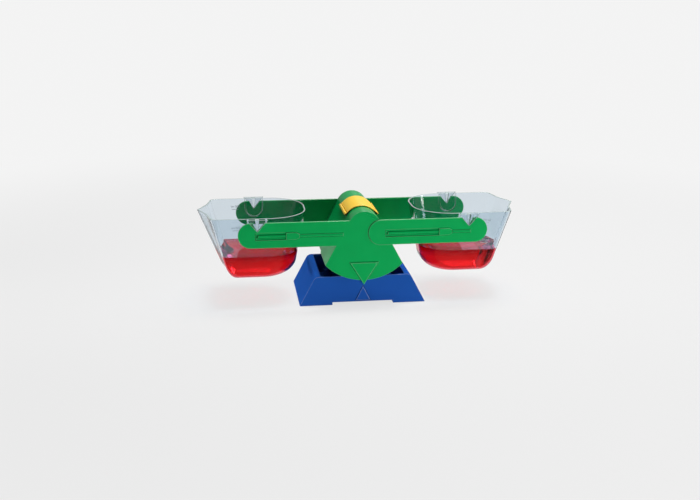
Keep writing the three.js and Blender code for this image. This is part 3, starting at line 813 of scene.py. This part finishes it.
class BALANCE_OT_fasteners(bpy.types.Operator):
    """Make the screws with their driven heads, and finish the axle"""

    bl_idname = "balance.fasteners"
    bl_label = "Screws and Axle"

    def execute(self, context):
        screws = context.scene.balance_screws
        steel = plated_steel(screws)
        quarter = math.pi / 2
        y_axis, z_axis = 1, 2
        families = {
            "post_screw": (z_axis, (math.pi, 0, 0)),
            "front_arm_screw": (y_axis, (-quarter, 0, 0)),
            "rear_arm_screw": (y_axis, (quarter, 0, 0)),
        }
        for node in sorted(frame["nodes"]):
            family = node.rpartition("_")[0]
            if family in families:
                piece = pan_head_screw(node, *families[family], screws)
                paint(piece, steel)
                stand_for(piece, node)
        paint(frame["nodes"]["pivot_axle"], steel)
        return {"FINISHED"}


class BALANCE_OT_buckets(bpy.types.Operator):
    """Finish the two clear buckets"""

    bl_idname = "balance.buckets"
    bl_label = "Buckets"

    def execute(self, context):
        buckets = context.scene.balance_buckets
        wall = clear_plastic(buckets)
        edge = pale_film("clear_edge", buckets, buckets.edge_haze)
        lug = pale_film("clear_lug", buckets, buckets.lug_haze)
        for node in ("left_bucket", "right_bucket"):
            piece = rounded_moulding(node, buckets.edge, buckets.smooth, (wall, edge, wall, lug))
            self.mark_lugs(piece, buckets)
            stand_for(piece, node)
        return {"FINISHED"}

    def mark_lugs(self, piece, buckets):
        """Gives the faces outside the walls the lugs' finish, and the rim's top the edges' finish."""
        rim = max(vertex.co.z for vertex in piece.data.vertices if abs(vertex.co.y) < buckets.lug_start)
        for face in piece.data.polygons:
            outside = abs(face.center.y) > buckets.lug_start
            if outside and face.material_index != EDGE_SLOT:
                face.material_index = LUG_SLOT
            elif rim - face.center.z < buckets.edge:
                face.material_index = EDGE_SLOT


def filled_room(bucket, level, name):
    """The room inside a bucket up to a level: a block cut by the walls, less what is outside them."""
    margin = 0.004
    low = Vector(bucket.bound_box[LOW_CORNER]) - Vector((margin, margin, margin))
    high = Vector(bucket.bound_box[HIGH_CORNER]) + Vector((margin, margin, margin))
    bpy.ops.mesh.primitive_cube_add(size=1, location=((low.x + high.x) / 2, 0, (low.z + level) / 2))
    block = bpy.context.object
    block.name = name
    block.scale = (high.x - low.x, high.y - low.y, level - low.z)
    bpy.ops.object.transform_apply(location=True, rotation=False, scale=True)
    apply_modifier(block, "BOOLEAN", operation="DIFFERENCE", object=bucket, solver="EXACT")
    middle = Vector(((low.x + high.x) / 2, 0, level))
    inside = min(block.data.vertices, key=lambda vertex: (vertex.co - middle).length).index
    with editing(block, "VERT"):
        bpy.ops.mesh.select_all(action="DESELECT")
        mesh = bmesh.from_edit_mesh(block.data)
        mesh.verts.ensure_lookup_table()
        mesh.verts[inside].select_set(True)
        bmesh.update_edit_mesh(block.data)
        bpy.ops.mesh.select_linked()
        bpy.ops.mesh.select_all(action="INVERT")
        bpy.ops.mesh.delete(type="VERT")
    return block


def room_in_millilitres(bucket, level):
    room = filled_room(bucket, level, "trial_room")
    mesh = bmesh.new()
    mesh.from_mesh(room.data)
    volume = mesh.calc_volume()
    mesh.free()
    bpy.data.objects.remove(room)
    return volume * MILLILITRES_PER_CUBIC_METRE


class BALANCE_OT_water(bpy.types.Operator):
    """Fill both buckets with red water"""

    bl_idname = "balance.water"
    bl_label = "Water"

    def execute(self, context):
        buckets = context.scene.balance_buckets
        dyed = dyed_water(buckets)
        for side in ("left", "right"):
            bucket = bpy.data.objects[f"{side}_bucket_moulding"]
            water = filled_room(bucket, buckets.water_level, f"{side}_bucket_water")
            with editing(water):
                bpy.ops.mesh.select_all(action="SELECT")
                bpy.ops.transform.shrink_fatten(value=-buckets.water_gap)
            only(water)
            bpy.ops.object.shade_smooth_by_angle(angle=buckets.smooth)
            paint(water, dyed)
            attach(water, f"{side}_bucket")
        return {"FINISHED"}


def wall_turn(normal):
    """The turn that lays flat print on a wall with this outward normal, reading upright."""
    return normal.to_track_quat("Z", "Y").to_euler()


def printed(piece, name, place, normal):
    """Moves flat print onto the wall and applies its place."""
    piece.name = name
    piece.rotation_euler = wall_turn(normal)
    piece.location = place
    only(piece)
    bpy.ops.object.transform_apply(location=True, rotation=True, scale=True)
    return piece


class BALANCE_OT_graduations(bpy.types.Operator):
    """Print the scale of millilitres on each bucket"""

    bl_idname = "balance.graduations"
    bl_label = "Graduations"

    def execute(self, context):
        buckets = context.scene.balance_buckets
        ink = scale_ink(buckets)
        for side, outwards in (("right", 1), ("left", -1)):
            bucket = bpy.data.objects[f"{side}_bucket_moulding"]
            self.print_scale(bucket, side, outwards, ink, buckets)
        return {"FINISHED"}

    def print_scale(self, bucket, side, outwards, ink, buckets):
        trials = 8
        knife = JOINT_PLACE[f"{side}_bucket_swing"]
        low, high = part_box(f"{side}_bucket")
        levels = np.linspace(low.z + (high.z - low.z) / trials, high.z, trials)
        amounts = [room_in_millilitres(bucket, level) for level in levels]
        marks = []
        for amount in range(buckets.scale_step, buckets.scale_top + 1, buckets.scale_step):
            level = float(np.interp(amount, amounts, levels))
            marks += self.print_mark(bucket, knife, outwards, amount, level, buckets)
        only(marks[0])
        for mark in marks:
            mark.select_set(True)
        bpy.ops.object.join()
        scale = bpy.context.object
        scale.name = f"{side}_bucket_scale"
        paint(scale, ink)
        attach(scale, f"{side}_bucket")

    def print_mark(self, bucket, knife, outwards, amount, level, buckets):
        """One short bar at its level, and its figure above it."""
        reach = 0.2
        start = knife + Vector((outwards * buckets.scale_reach, -outwards * reach, level - knife.z))
        hit, place, normal, _ = bucket.ray_cast(start, Vector((0, outwards, 0)))
        if not hit:
            raise RuntimeError(f"no wall behind the mark for {amount} ml")
        bpy.ops.mesh.primitive_cube_add(size=1)
        bar = bpy.context.object
        bar.scale = (buckets.tick_length, buckets.tick_height, 2 * buckets.print_rise)
        bpy.ops.object.transform_apply(location=False, rotation=False, scale=True)
        apply_modifier(bar, "BEVEL", width=buckets.print_rise / 2, segments=1)
        printed(bar, f"bar_{amount}", place, normal)
        bpy.ops.object.text_add()
        figure = bpy.context.object
        figure.data.body = f"{amount} ml"
        figure.data.size = buckets.figure_height
        figure.data.align_x = "CENTER"
        figure.data.extrude = buckets.print_rise
        figure.data.offset_y = buckets.figure_gap
        only(figure)
        bpy.ops.object.convert(target="MESH")
        return [bar, printed(bpy.context.object, f"figure_{amount}", place, normal)]


def face_point(piece, place, target):
    """Turns a lamp or camera at a place towards a target."""
    sight = Vector(target) - Vector(place)
    piece.rotation_euler = sight.to_track_quat("-Z", "Y").to_euler()


def soft_lamp(name, plan, power, middle):
    """An oblong lamp that faces its aim, or else the middle. It isn't seen itself."""
    bpy.ops.object.light_add(type="AREA", location=plan.place)
    lamp = bpy.context.object
    lamp.name = f"{name}_lamp"
    lamp.data.shape = "RECTANGLE"
    lamp.data.size, lamp.data.size_y = plan.size
    lamp.data.energy = power
    lamp.data.spread = plan.spread
    lamp.visible_camera = False
    lamp.visible_glossy = plan.mirrored
    lamp.visible_transmission = plan.mirrored
    face_point(lamp, plan.place, plan.aim or middle)


def paper_floor(settings):
    """Pale paper: partly even background, partly lit, so that the shadow stays."""
    fibre_scale, fibre_depth = 220.0, 0.015
    material, finish = new_finish("paper")
    fibre = finish.noise(fibre_scale, FINE_DETAIL)
    dark = opaque(settings.paper, settings.tone - fibre_depth)
    sheet = finish.blend(fibre, dark, opaque(settings.paper, settings.tone))
    lit = finish.node("ShaderNodeBsdfDiffuse", sockets={"Color": sheet})
    even = finish.node("ShaderNodeEmission", sockets={"Color": opaque(settings.paper)})
    distance = finish.node("ShaderNodeVectorMath", {"operation": "LENGTH"}, {0: finish.place()}, "Value")
    evenness = finish.node("ShaderNodeMapRange", {"interpolation_type": "SMOOTHSTEP"}, {
        "Value": distance,
        "From Min": settings.near,
        "From Max": settings.far,
        "To Min": settings.glow,
        "To Max": 1.0,
    })
    share = finish.seen() * evenness
    shader = finish.node("ShaderNodeMixShader", sockets={0: share, 1: lit, 2: even})
    finish.node("ShaderNodeOutputMaterial", sockets={"Surface": shader})
    return material


def even_sky(scene, settings):
    """White all round: background strength where it is seen, and a plain level as light."""
    scene.world = bpy.data.worlds.new("studio")
    scene.world.use_nodes = True
    finish = Finish(scene.world.node_tree)
    strength = settings.sky + finish.seen() * (1 - settings.sky)
    sockets = {"Color": opaque(settings.paper), "Strength": strength}
    sky = finish.node("ShaderNodeBackground", sockets=sockets)
    finish.node("ShaderNodeOutputWorld", sockets={"Surface": sky})


class BALANCE_OT_stage(bpy.types.Operator):
    """Set the floor, the light and the camera"""

    bl_idname = "balance.stage"
    bl_label = "Stage"

    def execute(self, context):
        scene = context.scene
        stage = scene.balance_stage
        floor_sides = 96
        bpy.ops.mesh.primitive_circle_add(
            vertices=floor_sides, radius=stage.floor_radius, fill_type="NGON",
        )
        floor = bpy.context.object
        floor.name = "floor"
        paint(floor, paper_floor(stage))
        even_sky(scene, stage)
        for name, plan in LAMPS.items():
            soft_lamp(name, plan, getattr(stage, f"{name}_power"), stage.target)
        bpy.ops.object.camera_add(location=stage.eye)
        camera = bpy.context.object
        face_point(camera, stage.eye, stage.target)
        camera.rotation_euler.rotate_axis("Z", stage.roll)
        camera.data.lens = stage.lens
        scene.camera = camera
        scene.view_settings.view_transform = "Standard"
        return {"FINISHED"}


class BALANCE_PT_panel(bpy.types.Panel):
    """Lists the pieces of the balance"""

    bl_idname = "BALANCE_PT_panel"
    bl_label = "Bucket Balance"
    bl_space_type = "VIEW_3D"
    bl_region_type = "UI"
    bl_category = "Balance"

    def draw(self, context):
        for operator in OPERATORS:
            self.layout.operator(operator.bl_idname)


OPERATORS = (
    BALANCE_OT_stage,
    BALANCE_OT_base,
    BALANCE_OT_beam,
    BALANCE_OT_slider,
    BALANCE_OT_fasteners,
    BALANCE_OT_buckets,
    BALANCE_OT_graduations,
    BALANCE_OT_water,
)
GROUPS = {
    "balance_plastics": BalancePlastics,
    "balance_buckets": BalanceBuckets,
    "balance_screws": BalanceScrews,
    "balance_stage": BalanceStage,
}


def register():
    for kind in (*GROUPS.values(), *OPERATORS, BALANCE_PT_panel):
        bpy.utils.register_class(kind)
    for name, group in GROUPS.items():
        setattr(bpy.types.Scene, name, PointerProperty(type=group))


def unregister():
    for name in GROUPS:
        delattr(bpy.types.Scene, name)
    for kind in reversed((*GROUPS.values(), *OPERATORS, BALANCE_PT_panel)):
        bpy.utils.unregister_class(kind)


def main():
    register()
    for operator in OPERATORS:
        _, name = operator.bl_idname.split(".")
        getattr(bpy.ops.balance, name)()


if __name__ == "__main__":
    main()
